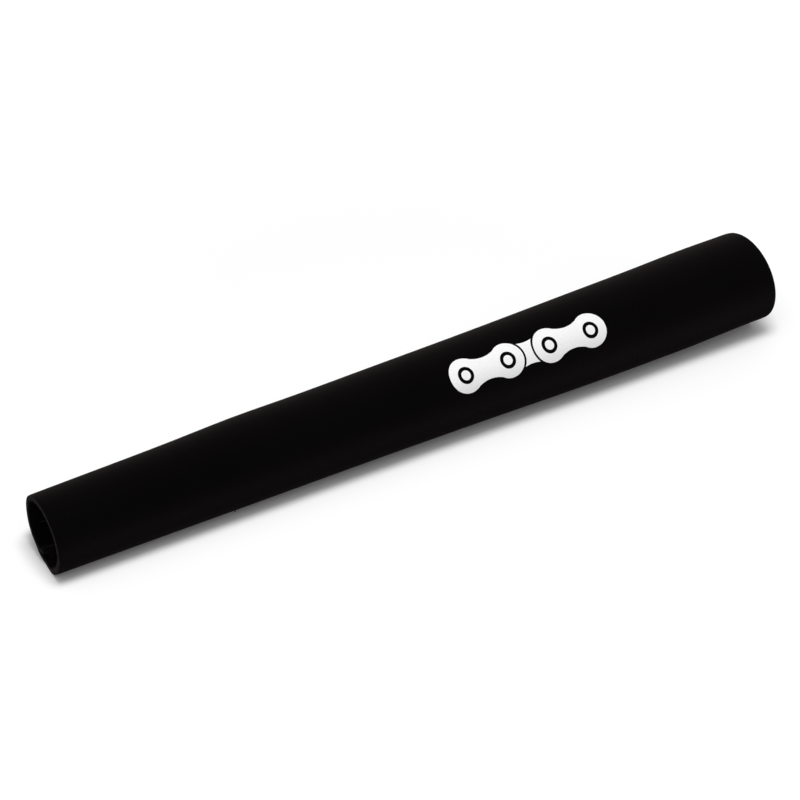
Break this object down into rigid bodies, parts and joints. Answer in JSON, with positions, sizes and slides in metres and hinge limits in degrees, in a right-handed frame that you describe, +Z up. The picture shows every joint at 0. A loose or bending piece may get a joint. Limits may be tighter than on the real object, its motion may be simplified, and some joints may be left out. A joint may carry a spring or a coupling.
{
  "type": "chainstay protector",
  "caption": "Tapered neoprene sleeve that wraps a bicycle's chainstay and closes along its length with a hook and loop strip.",
  "frame": {"origin": "on the ground, under the middle of the sleeve's box", "axes": "+X along the sleeve towards its wide end, +Z up, printed face towards -Y and up"},
  "size_m": [0.2618, 0.0328, 0.033],
  "materials": {
    "neoprene": "black knit nylon jersey laminated on foam rubber",
    "hook_tape": "black woven tape with nylon hooks",
    "loop_tape": "black woven tape with brushed loop pile",
    "print_ink": "white screen print sunk in the knit",
    "thread": "black sewing thread"
  },
  "bodies": {
    "root": {"sleeve": "neoprene", "hook_strip": "hook_tape", "loop_strip": "loop_tape"}
  },
  "joints": []
}
